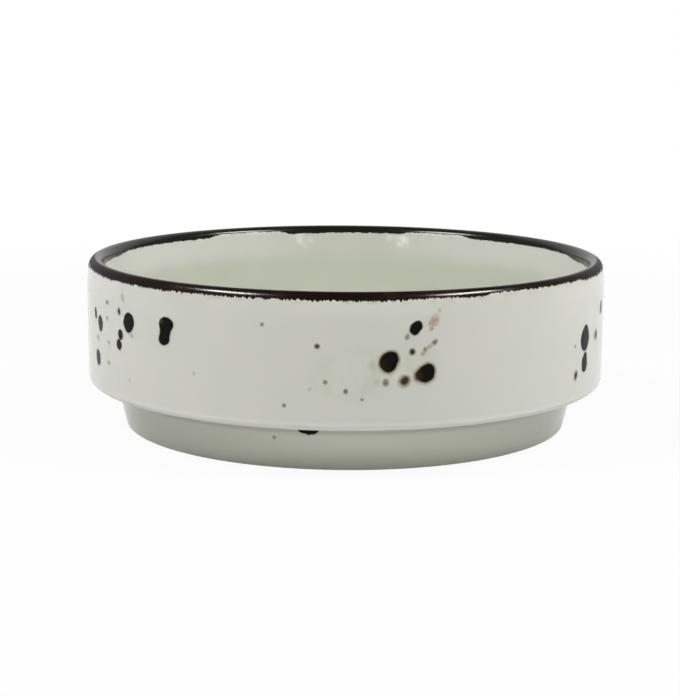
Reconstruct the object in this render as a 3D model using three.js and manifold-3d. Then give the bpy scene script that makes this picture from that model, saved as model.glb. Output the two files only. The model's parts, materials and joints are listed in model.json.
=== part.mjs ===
// A shallow round ramekin that stacks on the step above its foot: a stoneware body under pale glaze,
// with a band of dark iron glaze over the lip and drops of it fused into the wall.
// Millimetres, +Z up, with the origin at the centre of the foot's underside.
import * as THREE from "three";
import { mergeVertices } from "three/addons/utils/BufferGeometryUtils.js";
import Module from "manifold-3d";

// The outside of the glazed dish
const height = 38.7;
const outerRadius = 60;
const shoulderHeight = 10.25;
const shoulderEdgeRadius = 1.5;
const coveRadius = 1.1;

// The foot: its clearance in the mouth of the dish below in a stack, and how much it draws in to the table
const stackClearance = 2.15;
const footDraft = 2.5;

// The inside of the glazed dish
const wallThickness = 3.95;
const floorThickness = 4;
const innerCornerRadius = 14;

// The bare ring that the dish stands on, and the recess inside it
const footRingWidth = 4.4;
const footEdgeRadius = 0.45;
const recessDepth = 2;
const recessCornerRadius = 1.2;

// The coats: how thick they are, and where they stop
const glazeThickness = 0.45;
const bareHeight = 0.5;
const bandDropOutside = 1.4;
const bandDropInside = 2.2;

// The iron spots: how deep they sink into the pale coat, and how far their cutter reaches past it
const spotDepth = 0.28;
const spotReach = 1;

// Spots on the wall. bearing is in degrees from the front, to the right; level is the share of the way
// from the shoulder up to the rim, so that a spot keeps its place on the wall; wide and tall are in mm.
const wallSpots = [
  // the group at the left of the front
  { bearing: -67.1, level: 0.63, wide: 1.8, tall: 2.6 },
  { bearing: -64, level: 0.575, wide: 2.7, tall: 3.5 },
  { bearing: -50.4, level: 0.655, wide: 4.1, tall: 4.1 },
  { bearing: -53.8, level: 0.545, wide: 1.9, tall: 2.2 },
  { bearing: -54.5, level: 0.455, wide: 2, tall: 2.2 },
  { bearing: -66.1, level: 0.29, wide: 3.1, tall: 3.5 },
  // two that ran together
  { bearing: -38.6, level: 0.695, wide: 3.9, tall: 3.1 },
  { bearing: -39.2, level: 0.585, wide: 2.9, tall: 2.6 },
  // the group just right of the middle
  { bearing: 13.8, level: 0.755, wide: 2.6, tall: 2.8 },
  { bearing: 8.6, level: 0.515, wide: 3.8, tall: 4.2 },
  { bearing: 16.1, level: 0.425, wide: 3.7, tall: 3.8 },
  { bearing: 11.7, level: 0.375, wide: 2, tall: 2 },
  // the group at the right of the front
  { bearing: 61.4, level: 0.5, wide: 3.9, tall: 5.6 },
  { bearing: 61.1, level: 0.31, wide: 2.6, tall: 4.2 },
  { bearing: 72.8, level: 0.675, wide: 2.6, tall: 3.4 },
  // the back
  { bearing: 104, level: 0.56, wide: 3.3, tall: 3.7 },
  { bearing: 109, level: 0.4, wide: 2, tall: 2.3 },
  { bearing: 139, level: 0.71, wide: 2.8, tall: 3.2 },
  { bearing: 163, level: 0.34, wide: 3.9, tall: 4.3 },
  { bearing: 170, level: 0.51, wide: 2.1, tall: 2.3 },
  { bearing: 207, level: 0.66, wide: 3.6, tall: 3.4 },
  { bearing: 213, level: 0.44, wide: 2.4, tall: 2.9 },
  { bearing: 246, level: 0.52, wide: 3.2, tall: 3.9 },
];

// The spot on the foot, half hidden by the shoulder; its level is the share of the foot's height
const footSpots = [{ bearing: -8, level: 0.84, wide: 4.4, tall: 2 }];

// How finely round shapes are cut
const turnSteps = 48;
const coveSteps = 4;
const shoulderSteps = 4;
const lipSteps = 4;
const cornerSteps = 8;
const edgeSteps = 2;
const spotSides = 16;

// The lip, and where the band's two edges lie: their angle round the lip, and the height where they hang
const lipRadius = wallThickness / 2;
const lipCentre = new THREE.Vector2(outerRadius - lipRadius, height - lipRadius);

function bandEdge(drop) {
  const above = Math.max(height - drop - lipCentre.y, 0);
  return {
    angle: THREE.MathUtils.radToDeg(Math.asin(above / lipRadius)),
    height: Math.min(height - drop, lipCentre.y),
  };
}

const outsideEdge = bandEdge(bandDropOutside);
const insideEdge = bandEdge(bandDropInside);

// The profile point of a band edge, with side 1 outside the lip and -1 inside it
function bandPoint(edge, side, inset) {
  const angle = THREE.MathUtils.degToRad(edge.angle);
  const radius = lipRadius - inset;
  return new THREE.Vector2(
    lipCentre.x + side * radius * Math.cos(angle),
    edge.height + radius * Math.sin(angle),
  );
}

// The inside: its round corner can be no larger than the wall above it
const floorHeight = recessDepth + floorThickness;
const innerRadius = outerRadius - wallThickness;
const cornerRadius = Math.min(innerCornerRadius, insideEdge.height - floorHeight);
const cornerCentre = new THREE.Vector2(innerRadius - cornerRadius, floorHeight + cornerRadius);

// The foot's side leans out as it rises
const footTopRadius = innerRadius - stackClearance;
const footBottomRadius = footTopRadius - footDraft;
const footLean = new THREE.Vector2(footDraft, shoulderHeight).normalize();
const footNormal = new THREE.Vector2(footLean.y, -footLean.x);
const footNormalAngle = THREE.MathUtils.radToDeg(Math.atan2(footNormal.y, footNormal.x));

// The point of the foot's side at a height, set out from the glazed surface, or in where out is negative
function onFoot(z, out) {
  const along = (z - out * footNormal.y) / footLean.y;
  return new THREE.Vector2(footBottomRadius, 0)
    .addScaledVector(footLean, along)
    .addScaledVector(footNormal, out);
}

// The cove and the shoulder's edge share the step between them
const stepWidth = outerRadius - footTopRadius;
const cove = Math.min(coveRadius, stepWidth / 2);
const coveCentre = onFoot(shoulderHeight - cove, cove);
const shoulderEdge = Math.min(shoulderEdgeRadius, stepWidth / 2);
const shoulderEdgeCentre = new THREE.Vector2(outerRadius - shoulderEdge, shoulderHeight + shoulderEdge);

// The foot ring's edges and the recess inside it
const bareEdge = Math.min(footEdgeRadius, bareHeight);
const recessRadius = onFoot(0, -glazeThickness).x - footRingWidth - glazeThickness;
const recessEdge = Math.min(recessCornerRadius, recessDepth - bareHeight);
const recessEdgeCentre = new THREE.Vector2(recessRadius - recessEdge, recessDepth - recessEdge);

// The points of an arc of the profile between two angles in degrees
function arc(centre, radius, from, to, steps) {
  const start = THREE.MathUtils.degToRad(from);
  const end = THREE.MathUtils.degToRad(to);
  const round = Math.max(radius, 0);
  return new THREE.EllipseCurve(centre.x, centre.y, round, round, start, end, to < from).getPoints(steps);
}

// Each stretch of the dish's surface as profile points (radius, height). An inset of 0 is the glazed
// surface, and an inset of the glaze's thickness is the clay under it.
function outerSurface(inset) {
  return [
    onFoot(bareHeight, -inset),
    ...arc(coveCentre, cove + inset, footNormalAngle + 180, 90, coveSteps),
    ...arc(shoulderEdgeCentre, shoulderEdge - inset, -90, 0, shoulderSteps),
    new THREE.Vector2(outerRadius - inset, outsideEdge.height),
    bandPoint(outsideEdge, 1, inset),
  ];
}

function lipSurface(inset) {
  return [
    bandPoint(outsideEdge, 1, inset),
    ...arc(lipCentre, lipRadius - inset, outsideEdge.angle, 90, lipSteps),
    ...arc(lipCentre, lipRadius - inset, 90, 180 - insideEdge.angle, lipSteps),
    bandPoint(insideEdge, -1, inset),
  ];
}

function innerSurface(inset) {
  return [
    bandPoint(insideEdge, -1, inset),
    new THREE.Vector2(innerRadius + inset, insideEdge.height),
    ...arc(cornerCentre, cornerRadius + inset, 0, -90, cornerSteps),
    new THREE.Vector2(0, floorHeight - inset),
  ];
}

function baseSurface(inset) {
  return [
    new THREE.Vector2(0, recessDepth + inset),
    ...arc(recessEdgeCentre, recessEdge + inset, 90, 0, edgeSteps),
    new THREE.Vector2(recessRadius + inset, bareHeight),
  ];
}

// The bare clay of the foot ring, from the recess to the outside
function footRing() {
  const innerCentre = new THREE.Vector2(recessRadius + glazeThickness + bareEdge, bareEdge);
  const outerCentre = onFoot(bareEdge, -glazeThickness - bareEdge);
  return [
    ...arc(innerCentre, bareEdge, 180, 270, edgeSteps),
    ...arc(outerCentre, bareEdge, -90, footNormalAngle, edgeSteps),
  ];
}

// A solid of revolution. Points that fall on the one before are left out.
const samePoint = 1e-6;

function turned(points) {
  const profile = points.filter((p, i) => i === 0 || p.distanceTo(points[i - 1]) > samePoint);
  return new THREE.LatheGeometry(profile, turnSteps).rotateX(Math.PI / 2);
}

const clayBody = turned([
  ...baseSurface(glazeThickness),
  ...footRing(),
  ...outerSurface(glazeThickness),
  ...lipSurface(glazeThickness),
  ...innerSurface(glazeThickness),
]);

// A coat whose profile is a ring: out along the glazed surface and back along the clay
function ringCoat(surface) {
  const glazed = surface(0);
  return turned([...glazed, ...surface(glazeThickness).reverse(), glazed[0]]);
}

const rimBand = ringCoat(lipSurface);
const innerGlaze = turned([...innerSurface(glazeThickness).reverse(), ...innerSurface(0)]);
const baseGlaze = turned([...baseSurface(0), ...baseSurface(glazeThickness).reverse()]);

// Booleans: a closed geometry as a solid, and a solid as a geometry
const wasm = await Module();
wasm.setup();

function solidOf(geometry) {
  const bare = geometry.clone().deleteAttribute("normal").deleteAttribute("uv");
  const merged = mergeVertices(bare);
  return new wasm.Manifold(
    new wasm.Mesh({
      numProp: 3,
      vertProperties: new Float32Array(merged.attributes.position.array),
      triVerts: new Uint32Array(merged.index.array),
    }),
  );
}

function geometryOf(solid) {
  const mesh = solid.getMesh();
  const geometry = new THREE.BufferGeometry();
  geometry.setAttribute("position", new THREE.BufferAttribute(mesh.vertProperties, 3));
  geometry.setIndex(new THREE.BufferAttribute(mesh.triVerts, 1));
  geometry.computeVertexNormals();
  return geometry;
}

// An oval plug that points at the axis, its inner end sunk into the coat at that radius and height
function spotPlug(spot, radius, z) {
  const length = spotDepth + spotReach;
  return new THREE.CylinderGeometry(1 / 2, 1 / 2, length, spotSides)
    .scale(spot.wide, 1, spot.tall)
    .translate(0, -(radius - spotDepth + length / 2), z)
    .rotateZ(THREE.MathUtils.degToRad(spot.bearing));
}

const plugs = [
  ...wallSpots.map((spot) =>
    spotPlug(spot, outerRadius, THREE.MathUtils.lerp(shoulderHeight, height, spot.level)),
  ),
  ...footSpots.map((spot) => {
    const z = spot.level * shoulderHeight;
    return spotPlug(spot, onFoot(z, 0).x, z);
  }),
];

// Each spot takes its own share of the pale coat, which keeps the rest
let outerCoat = solidOf(ringCoat(outerSurface));
const spotShapes = plugs.map((plug) => {
  const cutter = solidOf(plug);
  const shape = geometryOf(outerCoat.intersect(cutter));
  outerCoat = outerCoat.subtract(cutter);
  return shape;
});

// Finishes
const stoneware = new THREE.MeshStandardMaterial({ color: 0xc9b79c, roughness: 0.85, metalness: 0 });
const paleGlaze = new THREE.MeshStandardMaterial({ color: 0xd9d9cd, roughness: 0.25, metalness: 0 });
const ironGlaze = new THREE.MeshStandardMaterial({ color: 0x1c150d, roughness: 0.18, metalness: 0 });

// The dish
const ramekin = new THREE.Group();

function place(name, geometry, material) {
  const mesh = new THREE.Mesh(geometry, material);
  mesh.name = name;
  ramekin.add(mesh);
}

place("clay_body", clayBody, stoneware);
place("outer_glaze", geometryOf(outerCoat), paleGlaze);
place("inner_glaze", innerGlaze, paleGlaze);
place("base_glaze", baseGlaze, paleGlaze);
place("rim_band", rimBand, ironGlaze);
spotShapes.forEach((shape, i) => {
  place(`iron_spot_${String(i + 1).padStart(2, "0")}`, shape, ironGlaze);
});

export default ramekin;
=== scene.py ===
# A shallow stacking ramekin: a stoneware body under pale glaze, a ragged band of dark iron glaze over the
# lip, and drops and specks of the same glaze fused into the wall. Metres, +Z up, the front towards -Y.
# A bearing is an angle round the dish from the front towards +X.
import json
import math
import random

import bpy
from mathutils import Matrix, Vector


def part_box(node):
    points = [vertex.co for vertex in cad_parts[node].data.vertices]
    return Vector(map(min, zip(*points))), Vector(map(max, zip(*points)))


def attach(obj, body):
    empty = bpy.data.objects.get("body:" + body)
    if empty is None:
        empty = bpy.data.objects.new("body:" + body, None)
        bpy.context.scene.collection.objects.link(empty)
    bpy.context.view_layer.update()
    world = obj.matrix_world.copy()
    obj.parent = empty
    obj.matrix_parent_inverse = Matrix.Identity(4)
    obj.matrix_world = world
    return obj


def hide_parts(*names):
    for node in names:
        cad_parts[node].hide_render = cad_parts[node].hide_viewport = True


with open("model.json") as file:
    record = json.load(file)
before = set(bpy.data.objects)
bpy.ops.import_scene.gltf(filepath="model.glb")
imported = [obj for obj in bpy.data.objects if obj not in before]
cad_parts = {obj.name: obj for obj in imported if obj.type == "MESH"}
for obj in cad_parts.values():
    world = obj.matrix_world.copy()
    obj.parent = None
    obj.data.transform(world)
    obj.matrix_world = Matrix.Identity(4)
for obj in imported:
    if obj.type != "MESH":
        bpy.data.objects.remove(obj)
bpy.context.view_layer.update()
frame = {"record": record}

MM = 0.001

# Sizes of the dish, read from the frame
_, rim_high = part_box("rim_band")
outer_low, outer_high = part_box("outer_glaze")
inner_low, inner_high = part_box("inner_glaze")
_, base_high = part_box("base_glaze")
mounts = {mount["name"]: Vector(mount["pos_m"]) for mount in frame["record"]["mounts"]}

GLAZE = 0.45 * MM
HEIGHT = rim_high.z
WALL_RADIUS = outer_high.x
BARE_HEIGHT = outer_low.z
INNER_RADIUS = inner_high.x - GLAZE
FLOOR_HEIGHT = inner_low.z + GLAZE
RECESS_DEPTH = base_high.z - GLAZE
RECESS_RADIUS = base_high.x - GLAZE
SHOULDER_HEIGHT = mounts["stacking_shoulder"].z

# Sizes of its edges
SHOULDER_EDGE = 1.5 * MM
COVE = 1.1 * MM
STACK_CLEARANCE = 2.15 * MM
FOOT_DRAFT = 2.5 * MM
INNER_CORNER = 14 * MM
FOOT_EDGE = 0.45 * MM
RECESS_CORNER = 1.2 * MM

# The foot's side leans out as it rises
FOOT_TOP_RADIUS = INNER_RADIUS - STACK_CLEARANCE
FOOT_BOTTOM_RADIUS = FOOT_TOP_RADIUS - FOOT_DRAFT
FOOT_LEAN = Vector((FOOT_DRAFT, SHOULDER_HEIGHT)).normalized()
FOOT_NORMAL = Vector((FOOT_LEAN.y, -FOOT_LEAN.x))
FOOT_ANGLE = math.degrees(math.atan2(FOOT_NORMAL.y, FOOT_NORMAL.x))

# The lip, how far its outside is drawn in and between which heights, and how far the band reaches over it on
# each side of the crest
LIP_RADIUS = (WALL_RADIUS - INNER_RADIUS) / 2
LIP_CENTRE = (WALL_RADIUS - LIP_RADIUS, HEIGHT - LIP_RADIUS)
LIP_DRAW = 0.4 * MM
DRAW_LOW = HEIGHT - 5.5 * MM
DRAW_HIGH = HEIGHT - 1 * MM
BAND_OUTSIDE = 2.78 * MM
BAND_INSIDE = 3.15 * MM

# Iron glaze lies this far proud of the pale glaze, its thin edges sink this far into it, and it is this deep
PROUD = 0.05 * MM
SUNK = 0.03 * MM
IRON_DEPTH = 0.3 * MM

# How finely turned pieces are cut round the axis
BODY_STEPS = 160
COAT_STEPS = 320
BAND_STEPS = 3000

# The view of the photograph
FRAME_LONG_SIDE = 697
FOCAL_PIXELS = 1658.4
SENSOR = 36
CAMERA_PLACE = Vector((0, -385.2 * MM, 89.6 * MM))
CAMERA_PITCH = math.radians(10.8)
CAMERA_YAW = math.radians(-0.182)
CAMERA_ROLL = math.radians(0.35)
CLIP_START = 10 * MM


# Building blocks for node trees

def feed(tree, socket, value):
    """Links an output to a socket, or sets the socket's own value."""
    if isinstance(value, bpy.types.NodeSocket):
        tree.links.new(value, socket)
    else:
        socket.default_value = value


def add(tree, kind, inputs=None, **settings):
    """Adds a node with its settings, and feeds its inputs by name or number."""
    node = tree.nodes.new(kind)
    for name, value in settings.items():
        setattr(node, name, value)
    for key, value in (inputs or {}).items():
        feed(tree, node.inputs[key], value)
    return node


def maths(tree, operation, *values):
    """The result of a Math node."""
    node = tree.nodes.new("ShaderNodeMath")
    node.operation = operation
    for socket, value in zip(node.inputs, values):
        feed(tree, socket, value)
    return node.outputs[0]


def ramp(tree, value, low, high, start=0.0, end=1.0):
    """A value eased from start to end while it goes from low to high."""
    node = add(
        tree,
        "ShaderNodeMapRange",
        {"Value": value, "From Min": low, "From Max": high, "To Min": start, "To Max": end},
        interpolation_type="SMOOTHSTEP",
    )
    return node.outputs["Result"]


def blend(tree, share, first, second):
    """One colour mixed into another."""
    node = tree.nodes.new("ShaderNodeMix")
    node.data_type = "RGBA"
    sockets = [s for s in node.inputs if s.enabled]
    for socket, value in zip(sockets, (share, first, second)):
        feed(tree, socket, value)
    return next(s for s in node.outputs if s.enabled)


def noise(tree, place, scale, detail, roughness):
    """A noise value from 0 to 1, at a place, with features about 1 / scale across."""
    node = add(
        tree,
        "ShaderNodeTexNoise",
        {"Vector": place, "Scale": scale, "Detail": detail, "Roughness": roughness},
    )
    return node.outputs[0]


def parts_of(tree, place):
    """The X, Y and Z of a place."""
    return add(tree, "ShaderNodeSeparateXYZ", {0: place}).outputs


def place_of(tree, x, y, z=0):
    """The place with the given X, Y and Z."""
    return add(tree, "ShaderNodeCombineXYZ", {"X": x, "Y": y, "Z": z}).outputs[0]


def length_of(tree, place):
    """How far a place is from the origin."""
    return add(tree, "ShaderNodeVectorMath", {0: place}, operation="LENGTH").outputs["Value"]


# Finishes

def group_tree(name, inputs, outputs):
    """An empty shader group with named sockets, each given as a name and a kind."""
    tree = bpy.data.node_groups.new(name, "ShaderNodeTree")
    for socket, kind in inputs:
        tree.interface.new_socket(name=socket, in_out="INPUT", socket_type=kind)
    for socket, kind in outputs:
        tree.interface.new_socket(name=socket, in_out="OUTPUT", socket_type=kind)
    return tree, tree.nodes.new("NodeGroupInput"), tree.nodes.new("NodeGroupOutput")


# Colours of the pale glaze
PALE = (0.585, 0.585, 0.540, 1)
PALE_DRIFT = (0.565, 0.572, 0.515, 1)
# The inside's colours, darker and greener than the outside's: partly painted shade of the hollow, partly the
# glaze's own greener tone
INSIDE = (0.525, 0.543, 0.463, 1)
INSIDE_DRIFT = (0.512, 0.535, 0.450, 1)
# A painted sheen on the glaze inside, lighter towards the lip and at both sides
INSIDE_TOP_SHEEN = (0.630, 0.630, 0.592, 1)
# Whiter over the shoulder's edge: partly thinner glaze, partly painted light against the shade of the
# rounding
THIN_GLAZE_AND_LIGHT = (0.665, 0.665, 0.622, 1)
FOOT = (0.603, 0.616, 0.538, 1)
# Painted shade: the foot darker towards the floor
FOOT_LOW_SHADE = (0.583, 0.595, 0.512, 1)
# Painted shade in the cove under the shoulder
COVE_SHADE = (0.470, 0.482, 0.412, 1)
IRON_BLEED = (0.46, 0.36, 0.22, 1)
GREEN_STAIN = (0.520, 0.548, 0.425, 1)
# Painted highlights: pale patches on the glaze inside under the lip
PAINTED_GLINT = (0.800, 0.800, 0.770, 1)

# Heights between which a painted sheen makes the glaze inside lighter towards the lip, and how unevenly it
# does
WHITER = (HEIGHT - 9 * MM, HEIGHT - 4 * MM)
WHITER_UNEVEN = 3 * MM

# Distances to the side between which the painted sheen comes to its full strength, and the shares of it there
WHITER_ASIDE = (0.1 * INNER_RADIUS, 0.5 * INNER_RADIUS, 0.4, 1)

# Heights between which iron bled down from the band
BLEED = (HEIGHT - 2.9 * MM, HEIGHT - 1.6 * MM)

# Heights between which the glaze is whiter over the shoulder's edge: partly thinner glaze, partly painted
# light against the shade of the rounding
THINNER_AND_LIT = (SHOULDER_HEIGHT + 2.4 * MM, SHOULDER_HEIGHT + 0.8 * MM)

# Heights between which painted shade darkens the foot up into the cove under the shoulder, and between which
# painted shade darkens it down towards the floor
SHADED = (SHOULDER_HEIGHT - 2.7 * MM, SHOULDER_HEIGHT - 1.5 * MM)
FLOOR_SHADE_HEIGHTS = (0.7 * SHOULDER_HEIGHT, 0)

# Radii between which the outside's colour gives way to the inside's
INWARDS = (INNER_RADIUS + 0.6 * LIP_RADIUS, INNER_RADIUS)

# Noise in the glaze, as features in a metre, detail and roughness
DRIFT_NOISE = (45, 3, 0.55)
WHITER_NOISE = (110, 2, 0.5)
CLOUD_NOISE = (240, 3, 0.6)
BLEED_NOISE = (420, 3, 0.6)
GLOSS_NOISE = (160, 3, 0.5)
SLOW_PEEL = (90, 1, 0.5)
FINE_PEEL = (620, 2, 0.5)

# The noise from and to which a mask rises, and what the mask is there if not 0 and 1
DRIFT_MASK = (0.35, 0.7)
CLOUD_MASK = (0.38, 0.62)
BLEED_MASK = (0.45, 0.75, 0, 0.4)

# How deep the fine peel is against the slow one
FINE_SHARE = 0.25

# Where iron in the glaze tinged it green: bearing in degrees, height and reach in mm, and strength
STAINS = [(14.2, 25.2, 5.5, 0.8), (3.5, 22.5, 7.5, 0.85), (-2.5, 21.5, 6.5, 0.65), (1, 17.5, 4.5, 0.6)]

# Where painted highlights lie under the lip inside, in the same way
GLINT_PATCHES = [(192.5, 35.4, 2.4, 0.8), (190.3, 34.2, 2.2, 0.6), (164.5, 35.0, 2.8, 1.0), (167.5, 35.9, 2.0, 0.6)]

# The share of its reach within which a stain or a painted highlight is at its strongest
STAIN_AND_GLINT_HEART = 0.25


def stain_and_glint_mask(tree, place, stains, around):
    """How strongly the glaze is marked near the given places, at a radius around the axis: by real stains,
    and by painted highlights.
    """
    mask = 0
    for bearing, height, reach, strength in stains:
        turn = math.radians(bearing)
        centre = (around * math.sin(turn), -around * math.cos(turn), height * MM)
        gap = add(tree, "ShaderNodeVectorMath", {0: place, 1: centre}, operation="DISTANCE")
        near = ramp(tree, gap.outputs["Value"], reach * MM, STAIN_AND_GLINT_HEART * reach * MM, 0, strength)
        mask = maths(tree, "MAXIMUM", mask, near)
    cloud = ramp(tree, noise(tree, place, *CLOUD_NOISE), *CLOUD_MASK)
    return maths(tree, "MULTIPLY", mask, cloud)


def outside_colour(tree, place, height, drift):
    """Green round iron, whiter over the shoulder's edge partly with painted light, greener on the foot, and
    darker with painted shade towards the floor and in the cove.
    """
    wall = blend(tree, drift, PALE, PALE_DRIFT)
    wall = blend(tree, stain_and_glint_mask(tree, place, STAINS, WALL_RADIUS), wall, GREEN_STAIN)
    wall = blend(tree, ramp(tree, height, *THINNER_AND_LIT), wall, THIN_GLAZE_AND_LIGHT)
    foot = blend(tree, ramp(tree, height, *FLOOR_SHADE_HEIGHTS), FOOT, FOOT_LOW_SHADE)
    foot = blend(tree, ramp(tree, height, *SHADED), foot, COVE_SHADE)
    return blend(tree, ramp(tree, height, SHOULDER_HEIGHT, SHOULDER_HEIGHT - COVE), wall, foot)


def inside_colour(tree, place, across, height, drift):
    """Lighter with painted sheen towards the lip, most of all at both sides, with painted highlights in
    patches, over a colour darkened by painted shade of the hollow.
    """
    colour = blend(tree, drift, INSIDE, INSIDE_DRIFT)
    uneven = maths(tree, "MULTIPLY_ADD", noise(tree, place, *WHITER_NOISE), WHITER_UNEVEN, height)
    aside = ramp(tree, maths(tree, "ABSOLUTE", across), *WHITER_ASIDE)
    whiter = maths(tree, "MULTIPLY", ramp(tree, uneven, *WHITER), aside)
    colour = blend(tree, whiter, colour, INSIDE_TOP_SHEEN)
    return blend(tree, stain_and_glint_mask(tree, place, GLINT_PATCHES, INNER_RADIUS), colour, PAINTED_GLINT)


def inside_share(tree, radius, height):
    """1 inside the dish and in the recess under it, and 0 on the wall's outside and the foot's side."""
    within = ramp(tree, radius, *INWARDS)
    foot_side = maths(tree, "MULTIPLY_ADD", height, FOOT_DRAFT / SHOULDER_HEIGHT, FOOT_BOTTOM_RADIUS - COVE)
    past_it = maths(tree, "GREATER_THAN", radius, foot_side)
    low = maths(tree, "LESS_THAN", height, SHOULDER_HEIGHT)
    on_foot_side = maths(tree, "MULTIPLY", past_it, low)
    return maths(tree, "MULTIPLY", within, maths(tree, "SUBTRACT", 1, on_foot_side))


def pale_glaze_group():
    """The colour of the pale glaze, with slow drifts in its thickness, and brown where iron bled into it."""
    tree, given, result = group_tree(
        "pale_glaze_tone",
        [("Place", "NodeSocketVector")],
        [("Color", "NodeSocketColor")],
    )
    place = given.outputs["Place"]
    parts = parts_of(tree, place)
    height = parts["Z"]
    radius = length_of(tree, place_of(tree, parts["X"], parts["Y"]))
    drift = ramp(tree, noise(tree, place, *DRIFT_NOISE), *DRIFT_MASK)
    outside = outside_colour(tree, place, height, drift)
    inside = inside_colour(tree, place, parts["X"], height, drift)
    colour = blend(tree, inside_share(tree, radius, height), outside, inside)
    ragged = ramp(tree, noise(tree, place, *BLEED_NOISE), *BLEED_MASK)
    bled = maths(tree, "MULTIPLY", ramp(tree, height, *BLEED), ragged)
    feed(tree, result.inputs["Color"], blend(tree, bled, colour, IRON_BLEED))
    return tree


def peel_group():
    """The orange peel of a fired glaze as a height, and how its gloss varies as a roughness."""
    tree, given, result = group_tree(
        "glaze_peel",
        [("Place", "NodeSocketVector"), ("Dull", "NodeSocketFloat"), ("Spread", "NodeSocketFloat")],
        [("Height", "NodeSocketFloat"), ("Roughness", "NodeSocketFloat")],
    )
    get = given.outputs
    slow = noise(tree, get["Place"], *SLOW_PEEL)
    fine = noise(tree, get["Place"], *FINE_PEEL)
    feed(tree, result.inputs["Height"], maths(tree, "MULTIPLY_ADD", fine, FINE_SHARE, slow))
    gloss = noise(tree, get["Place"], *GLOSS_NOISE)
    feed(tree, result.inputs["Roughness"], maths(tree, "MULTIPLY_ADD", gloss, get["Spread"], get["Dull"]))
    return tree


PALE_GLAZE = pale_glaze_group()
PEEL = peel_group()


def new_material(name):
    """A material with a Principled shader, its tree and its Object coordinates."""
    material = bpy.data.materials.new(name)
    material.use_nodes = True
    tree = material.node_tree
    place = tree.nodes.new("ShaderNodeTexCoord").outputs["Object"]
    return material, tree, tree.nodes["Principled BSDF"], place


def use_group(tree, group, inputs):
    """A shader group placed in a material, with its inputs fed."""
    node = tree.nodes.new("ShaderNodeGroup")
    node.node_tree = group
    for key, value in inputs.items():
        feed(tree, node.inputs[key], value)
    return node


def give_peel(tree, shader, place, dull, spread, depth):
    """Gives a glaze its varied gloss and the bump of its orange peel."""
    peel = use_group(tree, PEEL, {"Place": place, "Dull": dull, "Spread": spread})
    bump = add(tree, "ShaderNodeBump", {"Height": peel.outputs["Height"], "Distance": depth, "Strength": 1.0})
    feed(tree, shader.inputs["Roughness"], peel.outputs["Roughness"])
    feed(tree, shader.inputs["Normal"], bump.outputs["Normal"])


# A glaze's least roughness, how much duller it gets in places, and the depth of its orange peel
PALE_PEEL = (0.08, 0.12, 0.02 * MM)
BAND_PEEL = (0.13, 0.12, 0.03 * MM)

# How strongly the band and the iron in the pale glaze mirror
BAND_MIRROR = 0.38
DROP_MIRROR = 0.05


def pale_glaze():
    """The glossy creamy glaze of the coats."""
    material, tree, shader, place = new_material("pale_glaze")
    tone = use_group(tree, PALE_GLAZE, {"Place": place})
    feed(tree, shader.inputs["Base Color"], tone.outputs["Color"])
    give_peel(tree, shader, place, *PALE_PEEL)
    return material


# Colours of the band, and the noise of its drifts with the mask that it makes
IRON_BLACK = (0.005, 0.0023, 0.0009, 1)
IRON_BROWN = (0.018, 0.007, 0.0023, 1)
IRON_EDGE = (0.045, 0.018, 0.006, 1)
# A painted greenish reflection on the back of the band
IRON_GREEN_REFLECTION = (0.0055, 0.0068, 0.0038, 1)
IRON_NOISE = (130, 4, 0.6)
IRON_MASK = (0.45, 0.7)

# From and to where on the way to the back the band turns greener with a painted reflection, and how much it
# is so there
GREEN_REFLECTION_RAMP = (-0.2 * WALL_RADIUS, 0.5 * WALL_RADIUS, 0, 0.9)


def read_attribute(tree, name):
    """A value that the points of a piece carry."""
    return add(tree, "ShaderNodeAttribute", attribute_name=name).outputs["Fac"]


def iron_band():
    """Black where it lies thick, brown in drifts and where it runs out at its edges, greener at the back with
    a painted reflection.
    """
    material, tree, shader, place = new_material("iron_band")
    drift = ramp(tree, noise(tree, place, *IRON_NOISE), *IRON_MASK)
    colour = blend(tree, drift, IRON_BLACK, IRON_BROWN)
    colour = blend(tree, read_attribute(tree, "thin"), colour, IRON_EDGE)
    colour = blend(tree, ramp(tree, parts_of(tree, place)["Y"], *GREEN_REFLECTION_RAMP), colour, IRON_GREEN_REFLECTION)
    feed(tree, shader.inputs["Base Color"], colour)
    shader.inputs["Specular IOR Level"].default_value = BAND_MIRROR
    give_peel(tree, shader, place, *BAND_PEEL)
    return material


# Colours of iron in pale glaze, by tone: olive or black at 0, brown at half and rust at 1
THIN_TONES = [(0, (0.20, 0.21, 0.115, 1)), (0.5, (0.21, 0.145, 0.06, 1)), (1, (0.37, 0.20, 0.08, 1))]
THICK_TONES = [(0, (0.005, 0.005, 0.004, 1)), (0.5, (0.026, 0.016, 0.005, 1)), (1, (0.17, 0.085, 0.02, 1))]

# The noise that breaks up the thin iron round drops and specks, and the mask that it makes
HALO_NOISE = (2200, 3, 0.6)
HALO_MASK = (0.3, 0.7, 0.6, 1.25)


def tone_ramp(tree, tone, stops):
    """A colour that goes through the given stops as the tone rises."""
    node = add(tree, "ShaderNodeValToRGB", {"Fac": tone})
    elements = node.color_ramp.elements
    for element, (place, colour) in zip(elements, (stops[0], stops[-1])):
        element.position = place
        element.color = colour
    for place, colour in stops[1:-1]:
        elements.new(place).color = colour
    return node.outputs["Color"]


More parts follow.
